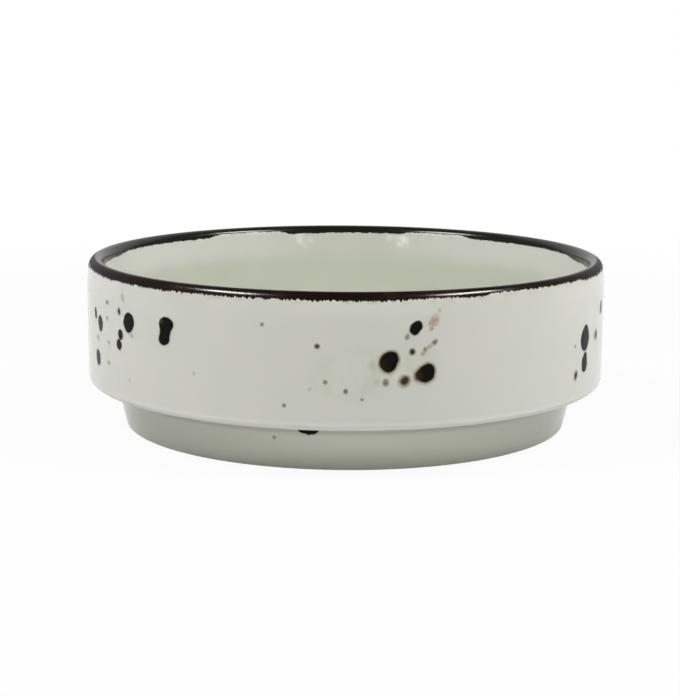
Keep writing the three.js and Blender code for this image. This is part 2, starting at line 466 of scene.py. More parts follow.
def iron_drops():
    """Iron in the pale glaze: olive to rust where it is thin, black to brown where it is thick."""
    material, tree, shader, place = new_material("iron_drops")
    tone = read_attribute(tree, "tone")
    colour = use_group(tree, PALE_GLAZE, {"Place": place}).outputs["Color"]
    broken = ramp(tree, noise(tree, place, *HALO_NOISE), *HALO_MASK)
    halo = maths(tree, "MULTIPLY", read_attribute(tree, "fringe"), broken)
    colour = blend(tree, maths(tree, "MINIMUM", halo, 1.0), colour, tone_ramp(tree, tone, THIN_TONES))
    colour = blend(tree, read_attribute(tree, "iron"), colour, tone_ramp(tree, tone, THICK_TONES))
    feed(tree, shader.inputs["Base Color"], colour)
    shader.inputs["Specular IOR Level"].default_value = DROP_MIRROR
    give_peel(tree, shader, place, *PALE_PEEL)
    return material


# Colours of the bare clay, and the noise, masks, roughness and depth of its grain and its scorched clouds
CLAY = (0.56, 0.47, 0.36, 1)
CLAY_PALE = (0.66, 0.57, 0.45, 1)
CLAY_SCORCHED = (0.50, 0.40, 0.29, 1)
GRAIN_NOISE = (2600, 4, 0.65)
GRAIN_MASK = (0.3, 0.7)
GRAIN_ROUGHNESS = (0.2, 0.8, 0.7, 0.95)
GRAIN_DEPTH = 0.06 * MM
SCORCH_NOISE = (110, 3, 0.5)
SCORCH_MASK = (0.4, 0.75, 0, 0.5)


def bare_stoneware():
    """Fired clay with no glaze: matt, grainy and a little darker where the kiln shelf touched it."""
    material, tree, shader, place = new_material("bare_stoneware")
    grain = noise(tree, place, *GRAIN_NOISE)
    scorched = ramp(tree, noise(tree, place, *SCORCH_NOISE), *SCORCH_MASK)
    colour = blend(tree, ramp(tree, grain, *GRAIN_MASK), CLAY, CLAY_PALE)
    colour = blend(tree, scorched, colour, CLAY_SCORCHED)
    feed(tree, shader.inputs["Base Color"], colour)
    feed(tree, shader.inputs["Roughness"], ramp(tree, grain, *GRAIN_ROUGHNESS))
    bump = add(tree, "ShaderNodeBump", {"Height": grain, "Distance": GRAIN_DEPTH, "Strength": 1.0})
    feed(tree, shader.inputs["Normal"], bump.outputs["Normal"])
    return material


STONEWARE = bare_stoneware()
PALE_COAT = pale_glaze()
IRON_BAND = iron_band()
IRON_DROPS = iron_drops()


# Profiles, as points of radius and height

def arc(centre, radius, start, end, steps):
    """The points of an arc between two angles in degrees."""
    points = []
    for i in range(steps + 1):
        angle = math.radians(start + (end - start) * i / steps)
        points.append((centre[0] + radius * math.cos(angle), centre[1] + radius * math.sin(angle)))
    return points


def straight(start, end, steps):
    """The points of a straight run, with its start and without its end."""
    shares = [i / steps for i in range(steps)]
    return [(start[0] + (end[0] - start[0]) * t, start[1] + (end[1] - start[1]) * t) for t in shares]


def on_foot(height, out):
    """The point of the foot's side at a height, set out from the glazed surface by a distance."""
    along = (height - out * FOOT_NORMAL.y) / FOOT_LEAN.y
    point = Vector((FOOT_BOTTOM_RADIUS, 0)) + FOOT_LEAN * along + FOOT_NORMAL * out
    return point.x, point.y


COVE_CENTRE = on_foot(SHOULDER_HEIGHT - COVE, COVE)
SHOULDER_CENTRE = (WALL_RADIUS - SHOULDER_EDGE, SHOULDER_HEIGHT + SHOULDER_EDGE)
CORNER_CENTRE = (INNER_RADIUS - INNER_CORNER, FLOOR_HEIGHT + INNER_CORNER)
RECESS_CENTRE = (RECESS_RADIUS - RECESS_CORNER, RECESS_DEPTH - RECESS_CORNER)

# How high the outer coat starts, and how far above that it has a second point, which keeps its edge crisp
COAT_END = 0.2 * MM
COAT_GUARD = 0.12 * MM

# Angles round the lip, in degrees, where the pale coats end under the band
OUTER_END_ANGLE = 42
INNER_END_ANGLE = 152

# How finely the rounds and the straight runs of the sections are cut
COVE_STEPS = 10
SHOULDER_STEPS = 12
LIP_SIDE_STEPS = 8
LIP_TOP_STEPS = 14
CORNER_STEPS = 28
RECESS_STEPS = 8
FOOT_EDGE_STEPS = 6
FOOT_STEPS = 8
LEDGE_STEPS = 4
WALL_STEPS = 40
INNER_WALL_STEPS = 10
FLOOR_STEPS = 8
RECESS_WALL_STEPS = 3
RING_STEPS = 4


def ease(value, low, high):
    """0 at low and 1 at high, eased between them."""
    t = min(max((value - low) / (high - low), 0), 1)
    return t * t * (3 - 2 * t)


def drawn_in(points):
    """Points of the section, moved in the more the further up the lip and out they are."""
    moved = []
    for radius, height in points:
        share = ease(height, DRAW_LOW, DRAW_HIGH) * ease(radius, INNER_RADIUS, WALL_RADIUS)
        moved.append((radius - LIP_DRAW * share, height))
    return moved


def drawn_radius(tree, radius, height):
    """The same for a radius and a height in nodes."""
    up = ramp(tree, height, DRAW_LOW, DRAW_HIGH)
    out = ramp(tree, radius, INNER_RADIUS, WALL_RADIUS)
    return maths(tree, "MULTIPLY_ADD", maths(tree, "MULTIPLY", up, out), -LIP_DRAW, radius)


def outer_surface(inset):
    """Up the outside, from the bare ring to under the band."""
    cove = arc(COVE_CENTRE, COVE + inset, FOOT_ANGLE + 180, 90, COVE_STEPS)
    shoulder = arc(SHOULDER_CENTRE, SHOULDER_EDGE - inset, -90, 0, SHOULDER_STEPS)
    lip = arc(LIP_CENTRE, LIP_RADIUS - inset, 0, OUTER_END_ANGLE, LIP_SIDE_STEPS)
    return [
        on_foot(COAT_END, -inset),
        *straight(on_foot(COAT_END + COAT_GUARD, -inset), cove[0], FOOT_STEPS),
        *cove,
        *straight(cove[-1], shoulder[0], LEDGE_STEPS)[1:],
        *shoulder,
        *drawn_in(straight(shoulder[-1], lip[0], WALL_STEPS)[1:]),
        *drawn_in(lip),
    ]


def inner_surface(inset):
    """Down the inside, from under the band to the middle of the floor."""
    lip = arc(LIP_CENTRE, LIP_RADIUS - inset, INNER_END_ANGLE, 180, LIP_SIDE_STEPS)
    corner = arc(CORNER_CENTRE, INNER_CORNER + inset, 0, -90, CORNER_STEPS)
    centre = (0, FLOOR_HEIGHT - inset)
    return [
        *drawn_in(lip),
        *straight(lip[-1], corner[0], INNER_WALL_STEPS)[1:],
        *corner,
        *straight(corner[-1], centre, FLOOR_STEPS)[1:],
        centre,
    ]


def lip_surface(inset):
    """Over the lip, between the two pale coats."""
    return drawn_in(arc(LIP_CENTRE, LIP_RADIUS - inset, OUTER_END_ANGLE, INNER_END_ANGLE, LIP_TOP_STEPS))


def base_surface(inset):
    """Across the recess under the floor, from its middle to the foot ring."""
    centre = (0, RECESS_DEPTH + inset)
    corner = arc(RECESS_CENTRE, RECESS_CORNER + inset, 90, 0, RECESS_STEPS)
    end = (RECESS_RADIUS + inset, BARE_HEIGHT)
    return [
        *straight(centre, corner[0], FLOOR_STEPS),
        *corner,
        *straight(corner[-1], end, RECESS_WALL_STEPS)[1:],
        end,
    ]


def foot_ring():
    """Round the bare ring that the dish stands on."""
    inner_centre = (RECESS_RADIUS + GLAZE + FOOT_EDGE, FOOT_EDGE)
    outer_centre = on_foot(FOOT_EDGE, -GLAZE - FOOT_EDGE)
    inner = arc(inner_centre, FOOT_EDGE, 180, 270, FOOT_EDGE_STEPS)
    outer = arc(outer_centre, FOOT_EDGE, -90, FOOT_ANGLE, FOOT_EDGE_STEPS)
    return [*inner, *straight(inner[-1], outer[0], RING_STEPS)[1:], *outer]


# Turned pieces

def finish_nodes(piece):
    """Turns what the piece's nodes make into its plain mesh, and takes the nodes off it."""
    graph = bpy.context.evaluated_depsgraph_get()
    made = bpy.data.meshes.new_from_object(
        piece.evaluated_get(graph),
        preserve_all_data_layers=True,
        depsgraph=graph,
    )
    drawn = piece.data
    piece.modifiers.clear()
    piece.data = made
    bpy.data.meshes.remove(drawn)


def with_nodes(name, mesh, tree, values):
    """A piece whose mesh is made by a node tree, with the tree's named inputs set."""
    piece = bpy.data.objects.new(name, mesh)
    bpy.context.scene.collection.objects.link(piece)
    modifier = piece.modifiers.new(name, "NODES")
    modifier.node_group = tree
    sockets = {s.name: s.identifier for s in tree.interface.items_tree if s.in_out == "INPUT"}
    for key, value in values.items():
        modifier[sockets[key]] = value
    finish_nodes(piece)
    return piece


def geometry_tree(name, inputs):
    """An empty geometry tree that takes a mesh and named inputs."""
    tree = bpy.data.node_groups.new(name, "GeometryNodeTree")
    tree.interface.new_socket(name="Geometry", in_out="INPUT", socket_type="NodeSocketGeometry")
    for socket, kind in inputs:
        tree.interface.new_socket(name=socket, in_out="INPUT", socket_type=kind)
    tree.interface.new_socket(name="Geometry", in_out="OUTPUT", socket_type="NodeSocketGeometry")
    return tree, tree.nodes.new("NodeGroupInput")


def end_tree(tree, geometry, material):
    """Ends a geometry tree: real mesh, shaded smooth, in its material."""
    real = add(tree, "GeometryNodeRealizeInstances", {"Geometry": geometry})
    smooth = add(tree, "GeometryNodeSetShadeSmooth", {0: real.outputs[0]})
    covered = add(tree, "GeometryNodeSetMaterial", {"Geometry": smooth.outputs[0], "Material": material})
    result = tree.nodes.new("NodeGroupOutput")
    tree.links.new(covered.outputs[0], result.inputs[0])


def store(tree, geometry, name, value, kind="FLOAT", domain="POINT"):
    """The geometry with a value kept on it under a name."""
    node = add(tree, "GeometryNodeStoreNamedAttribute", data_type=kind, domain=domain)
    for key, item in (("Geometry", geometry), ("Name", name), ("Value", value)):
        feed(tree, node.inputs[key], item)
    return node.outputs[0]


def set_places(tree, geometry, place):
    """The geometry with its points moved to their places."""
    return add(tree, "GeometryNodeSetPosition", {"Geometry": geometry, "Position": place}).outputs[0]


def wound_grid(tree, given):
    """A grid with a row for each step round the axis and a column for each point of the section.

    Gives the grid, the bearing of each of its points and the section's point there."""
    points = given.outputs["Points"]
    steps = given.outputs["Steps"]
    rows = maths(tree, "ADD", steps, 1)
    grid = add(tree, "GeometryNodeMeshGrid", {"Vertices X": rows, "Vertices Y": points})
    index = tree.nodes.new("GeometryNodeInputIndex").outputs[0]
    row = maths(tree, "FLOOR", maths(tree, "DIVIDE", maths(tree, "ADD", index, 0.5), points))
    column = maths(tree, "SUBTRACT", index, maths(tree, "MULTIPLY", row, points))
    bearing = maths(tree, "MULTIPLY", maths(tree, "DIVIDE", row, steps), 2 * math.pi)
    section = add(
        tree,
        "GeometryNodeSampleIndex",
        {
            "Geometry": given.outputs["Geometry"],
            "Value": tree.nodes.new("GeometryNodeInputPosition").outputs[0],
            "Index": column,
        },
        data_type="FLOAT_VECTOR",
    )
    parts = parts_of(tree, section.outputs[0])
    return grid.outputs["Mesh"], bearing, parts["X"], parts["Z"]


def round_axis(tree, bearing, radius, height):
    """The place at a bearing, radius and height."""
    across = maths(tree, "MULTIPLY", radius, maths(tree, "SINE", bearing))
    towards = maths(tree, "MULTIPLY", radius, maths(tree, "COSINE", bearing))
    return place_of(tree, across, maths(tree, "MULTIPLY", towards, -1), height)


# Points that are closer than this are joined
SEAM = 0.001 * MM


def closed(tree, mesh):
    """The mesh with its seam and its poles closed."""
    return add(tree, "GeometryNodeMergeByDistance", {"Geometry": mesh, "Distance": SEAM}).outputs[0]


def turned_tree():
    """Turns a section round the axis, as a potter's tool does."""
    tree, given = geometry_tree(
        "turned_piece",
        [("Points", "NodeSocketInt"), ("Steps", "NodeSocketInt"), ("Finish", "NodeSocketMaterial")],
    )
    grid, bearing, radius, height = wound_grid(tree, given)
    placed = set_places(tree, grid, round_axis(tree, bearing, radius, height))
    end_tree(tree, closed(tree, placed), given.outputs["Finish"])
    return tree


TURNED = turned_tree()


def section_mesh(name, points):
    """A section as loose points, the first number across and the second up."""
    mesh = bpy.data.meshes.new(name)
    mesh.from_pydata([(p[0], 0, p[1]) for p in points], [], [])
    return mesh


def face_outwards(piece):
    """Turns a closed mesh right side out."""
    mesh = piece.data
    mesh.calc_loop_triangles()
    corners = [v.co for v in mesh.vertices]
    volume = 0
    for triangle in mesh.loop_triangles:
        a, b, c = (corners[i] for i in triangle.vertices)
        volume += a.dot(b.cross(c))
    if volume < 0:
        mesh.flip_normals()


def turned(name, points, finish, steps=COAT_STEPS):
    """A piece turned from its section, in its finish."""
    values = {"Points": len(points), "Steps": steps, "Finish": finish}
    piece = with_nodes(name, section_mesh(name, points), TURNED, values)
    face_outwards(piece)
    return piece


def finished(piece, slot, *nodes):
    """Hangs the piece under the dish and hides the nodes that it stands for."""
    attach(piece, "root")
    if nodes:
        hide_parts(*nodes)


def coat_section(surface, inset):
    """The section of a coat, along its glazed surface and back along the clay."""
    glazed = surface(inset)
    return [*glazed, *reversed(surface(GLAZE)), glazed[0]]


def make_body():
    """The stoneware body, turned in one piece."""
    section = [
        *base_surface(GLAZE),
        *foot_ring(),
        *outer_surface(GLAZE),
        *lip_surface(GLAZE)[1:],
        *inner_surface(GLAZE)[1:],
    ]
    body = turned("stoneware_body", section, STONEWARE, BODY_STEPS)
    finished(body, "stoneware", "clay_body")


def make_pale_coats():
    """The coats outside, inside and under the floor, the first two set in for the iron that lies on them."""
    outer = turned("outer_coat", coat_section(outer_surface, PROUD), PALE_COAT)
    finished(outer, "pale_glaze", "outer_glaze")
    inner = turned("inner_coat", coat_section(inner_surface, PROUD), PALE_COAT)
    finished(inner, "pale_glaze", "inner_glaze")
    base = turned("base_coat", coat_section(base_surface, 0), PALE_COAT)
    finished(base, "pale_glaze", "base_glaze")


# The ragged band over the lip

# The band's thin edge, as shares of the way over the lip and lifts off it, then the share where the full
# glaze starts, and the steps in which that and the underside are cut
THIN_EDGE = [
    (0, -PROUD - SUNK),
    (0.006, -PROUD - 0.3 * SUNK),
    (0.016, -0.6 * PROUD),
    (0.03, -0.3 * PROUD),
    (0.05, -0.1 * PROUD),
]
FULL_START = 0.08
FULL_STEPS = 12
UNDER_STEPS = 4


def band_section():
    """The band's section: the share of the way from its outer to its inner edge, and its lift off the lip."""
    full_width = 1 - 2 * FULL_START
    full = [(FULL_START + full_width * i / FULL_STEPS, 0) for i in range(FULL_STEPS + 1)]
    over = THIN_EDGE + full + [(1 - t, lift) for t, lift in reversed(THIN_EDGE)]
    under = [(1 - i / UNDER_STEPS, -IRON_DEPTH) for i in range(UNDER_STEPS + 1)]
    return over + under + over[:1]


# Where the band stops short, or with a minus runs on: from and to a bearing in degrees, and by how much in
# mm, with the degrees over which it fades in and out
INNER_GAPS = [(194, 221, 0.8), (143, 167, 0.75), (164, 190, 0.2), (85, 108, -0.7), (251, 278, -0.55)]
OUTER_GAPS = [(26, 63, 0.52), (10, 26, 0.18), (290, 328, -0.18)]
GAP_FADE = 6

# The teeth of the band's edges and its slow waves, and how many waves there are to a tooth
TOOTH_PITCH = 0.34 * MM
TOOTH_DEPTH = 0.45 * MM
WAVE_DEPTH = 0.6 * MM
WAVE_SHARE = 0.1

# The detail and roughness of their noise, its mean, and the mask that makes teeth of it
TOOTH_NOISE = (2, 0.6)
WAVE_NOISE = (2, 0.5)
NOISE_MEAN = 0.5
TOOTH_MASK = (0.37, 0.67, -0.4, 0.6)

# How far round the noise for the teeth is read, so that it is not flat at the front
TOOTH_TURN = math.radians(37)

# How high the noise is read for each edge, so that the two differ
OUTER_READ = 3.0
INNER_READ = 9.0

# How ragged the band's inner edge is against its outer edge
INNER_RAGGED = 0.65

# The share of the band's width within which an edge's raggedness dies out
EDGE_SHARE = 0.3

# The shares of the width, counted from an edge, between which the band turns brown towards it
BROWN_EDGE = (0.045, 0.01)


def gap_at(tree, bearing, gaps):
    """How far the band stops short at a bearing."""
    total = 0
    for start, end, depth in gaps:
        opened = ramp(tree, bearing, math.radians(start), math.radians(start + GAP_FADE), 0, depth * MM)
        shut = ramp(tree, bearing, math.radians(end), math.radians(end - GAP_FADE))
        total = maths(tree, "MULTIPLY_ADD", opened, shut, total)
    return total


def on_circle(tree, bearing, offset):
    """A point on a circle of radius 1, where noise is read so that it closes round the dish."""
    return place_of(tree, maths(tree, "SINE", bearing), maths(tree, "COSINE", bearing), offset)


def ragged_edge(tree, bearing, offset, get):
    """How far the band's edge runs past its mean line: short teeth that dripped, and slow waves."""
    turns = maths(tree, "DIVIDE", WALL_RADIUS, get["Tooth Pitch"])
    slow_turns = maths(tree, "MULTIPLY", turns, WAVE_SHARE)
    place = on_circle(tree, bearing, offset)
    beside = on_circle(tree, maths(tree, "ADD", bearing, TOOTH_TURN), offset)
    teeth = ramp(tree, noise(tree, beside, turns, *TOOTH_NOISE), *TOOTH_MASK)
    waves = maths(tree, "SUBTRACT", noise(tree, place, slow_turns, *WAVE_NOISE), NOISE_MEAN)
    dripped = maths(tree, "MULTIPLY", teeth, get["Tooth Depth"])
    return maths(tree, "MULTIPLY_ADD", waves, get["Wave Depth"], dripped)


def run_over_lip(tree, bearing, share, get):
    """How far outside the crest, along the lip, a share of the band's width lies between its ragged edges."""
    outer = ragged_edge(tree, bearing, OUTER_READ, get)
    outer = maths(tree, "SUBTRACT", outer, gap_at(tree, bearing, OUTER_GAPS))
    inner = maths(tree, "MULTIPLY", ragged_edge(tree, bearing, INNER_READ, get), INNER_RAGGED)
    inner = maths(tree, "SUBTRACT", inner, gap_at(tree, bearing, INNER_GAPS))
    run_out = maths(tree, "MULTIPLY", outer, ramp(tree, share, EDGE_SHARE, 0))
    run_in = maths(tree, "MULTIPLY", inner, ramp(tree, share, 1 - EDGE_SHARE, 1))
    width = maths(tree, "ADD", get["Outside"], get["Inside"])
    mean = maths(tree, "SUBTRACT", get["Outside"], maths(tree, "MULTIPLY", share, width))
    return maths(tree, "SUBTRACT", maths(tree, "ADD", mean, run_out), run_in)


def on_lip(tree, along, lift, get):
    """The radius and height at a way along the lip, straight down past its round, and lifted off it."""
    quarter = maths(tree, "MULTIPLY", get["Lip Radius"], math.pi / 2)
    turn = maths(tree, "DIVIDE", along, get["Lip Radius"])
    turn = maths(tree, "MAXIMUM", maths(tree, "MINIMUM", turn, math.pi / 2), -math.pi / 2)
    hang = maths(tree, "MAXIMUM", maths(tree, "SUBTRACT", maths(tree, "ABSOLUTE", along), quarter), 0)
    reach = maths(tree, "ADD", get["Lip Radius"], lift)
    radius = maths(tree, "MULTIPLY_ADD", reach, maths(tree, "SINE", turn), get["Lip Centre"])
    height = maths(tree, "MULTIPLY_ADD", reach, maths(tree, "COSINE", turn), get["Lip Height"])
    height = maths(tree, "SUBTRACT", height, hang)
    return drawn_radius(tree, radius, height), height


def band_tree():
    """Lays a coat over the lip between two ragged edges."""
    lip_sizes = ("Lip Radius", "Lip Centre", "Lip Height")
    band_sizes = ("Outside", "Inside", "Tooth Pitch", "Tooth Depth", "Wave Depth")
    tree, given = geometry_tree(
        "ragged_band",
        [
            ("Points", "NodeSocketInt"),
            ("Steps", "NodeSocketInt"),
            *((size, "NodeSocketFloat") for size in lip_sizes + band_sizes),
            ("Finish", "NodeSocketMaterial"),
        ],
    )
    get = given.outputs
    grid, bearing, share, lift = wound_grid(tree, given)
    radius, height = on_lip(tree, run_over_lip(tree, bearing, share, get), lift, get)
    placed = set_places(tree, grid, round_axis(tree, bearing, radius, height))
    to_edge = maths(tree, "MINIMUM", share, maths(tree, "SUBTRACT", 1, share))
    named = store(tree, placed, "thin", ramp(tree, to_edge, *BROWN_EDGE))
    end_tree(tree, closed(tree, named), get["Finish"])
    return tree


def make_band():
    """The ragged band of iron glaze over the lip."""
    section = band_section()
    values = {
        "Points": len(section),
        "Steps": BAND_STEPS,
        "Lip Radius": LIP_RADIUS,
        "Lip Centre": LIP_CENTRE[0],
        "Lip Height": LIP_CENTRE[1],
        "Outside": BAND_OUTSIDE,
        "Inside": BAND_INSIDE,
        "Tooth Pitch": TOOTH_PITCH,
        "Tooth Depth": TOOTH_DEPTH,
        "Wave Depth": WAVE_DEPTH,
        "Finish": IRON_BAND,
    }
    piece = with_nodes("iron_lip_band", section_mesh("iron_lip_band", section), band_tree(), values)
    face_outwards(piece)
    finished(piece, "iron_glaze", "rim_band")


# The outside of the dish as a path, on which the drops lie

class SurfacePath:
    """The outer glaze's section, measured along its length."""

    def __init__(self, points):
        self.points = [Vector(p) for p in points]
        self.lengths = [0.0]
        for a, b in zip(self.points, self.points[1:]):
            self.lengths.append(self.lengths[-1] + (b - a).length)

    def at(self, length):
        """The point at a length, and the way out of the surface there."""
        last = len(self.points) - 2
        i = next((k for k in range(last) if self.lengths[k + 1] > length), last)
        a, b = self.points[i], self.points[i + 1]
        step = (b - a).normalized()
        return a + step * (length - self.lengths[i]), Vector((step.y, -step.x))

    def length_at(self, height):
        """The length where the path first reaches a height."""
        for k, (a, b) in enumerate(zip(self.points, self.points[1:])):
            if a.y <= height <= b.y and b.y > a.y:
                return self.lengths[k] + (height - a.y) / (b.y - a.y) * (b - a).length
        raise ValueError("no such height")


OUTSIDE = SurfacePath(outer_surface(0))


def on_outside(bearing, length, lift):
    """The place at a bearing and at a length up the outside, lifted off the glazed surface."""
    point, out = OUTSIDE.at(length)
    radius = point.x + out.x * lift
    return (radius * math.sin(bearing), -radius * math.cos(bearing), point.y + out.y * lift)


# Drops of iron on the wall, each with the numbers of the nodes that it stands for.
#   lean: how far its top leans to the right, in degrees
#   scale: its width and height against its node's
#   shift: how far it lies to the right of its node and above it, in mm
#   soft: half the width of its soft edge, in mm
#   fringe: the width in mm and the strength of the thin edge round it
#   tone: the tone of its middle, from black (0) over brown (0.5) to rust (1)
#   edge: the tone of its thin edge, from olive (0) over brown (0.5) to rust (1)
#   lobes: ovals that ran into it, as shifts across and up, widths and heights in mm, and leans in degrees
#   blush: the side towards which it grows brown, in degrees from the top to the right, and how brown
#   stains: thin patches in it or at its edge, as shifts, widths and heights in mm, how dark they are, their
#   tone, and half the width of their soft edge in mm
DROPS = [
    # the group at the left of the front
    {"nodes": [1], "lean": -8, "scale": (1.08, 1.02), "shift": (0.15, 0.1)},
    {"nodes": [2], "lean": -6, "scale": (1.2, 1.0), "shift": (0.35, -0.1)},
    {
        "nodes": [3],
        "lean": -8,
        "scale": (1.05, 0.97),
        "shift": (0.3, -0.25),
        "lobes": [(0.25, 0.75, 2.6, 2.5, -10)],
    },
    {"nodes": [4], "lean": -16, "scale": (1.12, 1.08), "shift": (0.4, -0.1), "tone": 0.12},
    {"nodes": [5], "lean": 8, "scale": (1.2, 1.05), "shift": (0.45, 0.2), "tone": 0.12},
    {"nodes": [6], "lean": -8, "scale": (1.05, 1.02), "shift": (0.5, 0.05)},
    # two that ran together
    {
        "nodes": [7, 8],
        "lean": -8,
        "scale": (1.12, 0.98),
        "shift": (0.32, -0.13),
        "fringe": (0.3, 0.4),
        "edge": 0.25,
        "lobes": [(-0.2, -1.5, 2.8, 2.4, 0)],
        "stains": [(-1.4, 0.45, 0.9, 0.8, 0.93, 0.5, 0.3)],
    },
    # the group just right of the middle
    {"nodes": [9], "lean": 32, "scale": (0.94, 1.12), "shift": (-0.15, -0.18), "soft": 0.16},
    {
        "nodes": [10],
        "lean": 15,
        "scale": (1.04, 0.98),
        "shift": (-0.24, -0.18),
        "soft": 0.2,
        "fringe": (0.5, 0.6),
        "edge": 0.42,
        "blush": (-118, 0.22),
        "lobes": [(0.9, 1.0, 1.7, 1.7, 0)],
    },
    {
        "nodes": [11],
        "lean": 10,
        "scale": (0.88, 0.99),
        "shift": (0.04, -0.07),
        "soft": 0.2,
        "fringe": (0.55, 0.65),
        "edge": 0.4,
        "blush": (-100, 0.34),
        "lobes": [(-1.1, -0.35, 2.5, 2.9, 0)],
        "stains": [(-1.95, -0.5, 1.4, 2.0, 0.995, 0.5, 0.6)],
    },
    {
        "nodes": [12],
        "lean": 40,
        "scale": (0.85, 0.92),
        "shift": (-0.16, -0.14),
        "soft": 0.4,
        "tone": 0.6,
        "fringe": (0.5, 0.75),
        "edge": 0.2,
    },
    # the group at the right of the front
    {"nodes": [13], "lean": 8, "scale": (1.2, 1.06), "shift": (-0.7, -0.1)},
    {
        "nodes": [14],
        "lean": 12,
        "scale": (1.05, 1.03),
        "shift": (-0.35, 0.12),
        "tone": 0.12,
        "lobes": [(-0.1, -0.6, 2.8, 2.6, 0)],
    },
    {"nodes": [15], "lean": 5, "scale": (1.0, 0.95), "shift": (-0.25, -0.05)},
    # the back
    {"nodes": [16], "lean": -15},
    {"nodes": [17], "lean": 35, "soft": 0.3, "tone": 0.35, "fringe": (0.4, 0.6), "edge": 0.4},
    {"nodes": [18], "lean": 10, "fringe": (0.4, 0.4), "edge": 0.3, "blush": (-120, 0.5)},
    {"nodes": [19], "lean": -20, "lobes": [(1.3, 0.6, 1.7, 2.1, 0)], "blush": (-110, 0.5)},
    {"nodes": [20], "lean": 15, "soft": 0.4, "tone": 0.7, "fringe": (0.5, 0.7), "edge": 0.4},
    {"nodes": [21], "lean": -35, "lobes": [(0.2, -1.7, 2.2, 2.0, 0)], "blush": (60, 0.5)},
    {"nodes": [22], "lean": 10, "tone": 0.1},
    {"nodes": [23], "lean": -12, "lobes": [(0.5, 1.2, 1.9, 1.8, 0)]},
    # half hidden under the shoulder
    {"nodes": [24], "lean": 0, "scale": (1.08, 1.0), "shift": (-0.05, 0.45)},
]
DROP_SEED = 11
DROP_SIDES = 64

# The soft edge and the fringe of a drop whose row has none
DROP_SOFT = 0.13
DROP_FRINGE = (0.25, 0.25)

# A drop's uneven outline: how many waves go round it, between which sizes, and how deep they all are
DROP_WAVES = (2, 3, 4, 5, 7)
WAVE_SIZES = (0.3, 1)
DROP_UNEVEN = 0.02

# The gap over which two ovals run together, and how deep a spot is in the solids
RUN_TOGETHER = 1.1 * MM
CAD_SPOT_DEPTH = 0.28 * MM

# How far from its middle a drop's outline is looked for, and how closely it is found
DROP_REACH = 8 * MM
DROP_CLOSE = 0.002 * MM

# Shares of a drop's half size between which it blushes
BLUSH = (0.2, 1.1)

# The rings of a drop's lens: shares of the way to its soft edge, and steps across that edge and its fringe
LENS_SHARES = (0.15, 0.3, 0.45, 0.6, 0.72, 0.83, 0.92)
SOFT_STEPS = (-1, -0.5, 0, 0.5, 1)
FRINGE_STEPS = (0.33, 0.67, 1)

# How much of its fall the lens has behind it where the soft edge ends, and how wide its sunk rim is
SOFT_FALL = 0.1
SUNK_WIDTH = 0.08 * MM


class Lobe:
    """An oval on the unrolled wall."""

    def __init__(self, across, up, wide, tall, lean):
        self.across, self.up = across, up
        self.half_wide, self.half_tall = wide / 2, tall / 2
        self.cosine, self.sine = math.cos(math.radians(lean)), math.sin(math.radians(lean))

    def gap(self, across, up):
        """About how far outside the oval a point is, negative inside."""
        dx, dy = across - self.across, up - self.up
        x = (dx * self.cosine - dy * self.sine) / self.half_wide
        y = (dx * self.sine + dy * self.cosine) / self.half_tall
        reach = math.hypot(x, y)
        slope = math.hypot(x / self.half_wide, y / self.half_tall)
        if slope == 0:
            return -min(self.half_wide, self.half_tall)
        return reach * (reach - 1) / slope


def joined(gaps):
    """The gap to several ovals that ran into one another."""
    total = gaps[0]
    for gap in gaps[1:]:
        bridge = max(RUN_TOGETHER - abs(total - gap), 0) / RUN_TOGETHER
        total = min(total, gap) - bridge * bridge * RUN_TOGETHER / 4
    return total


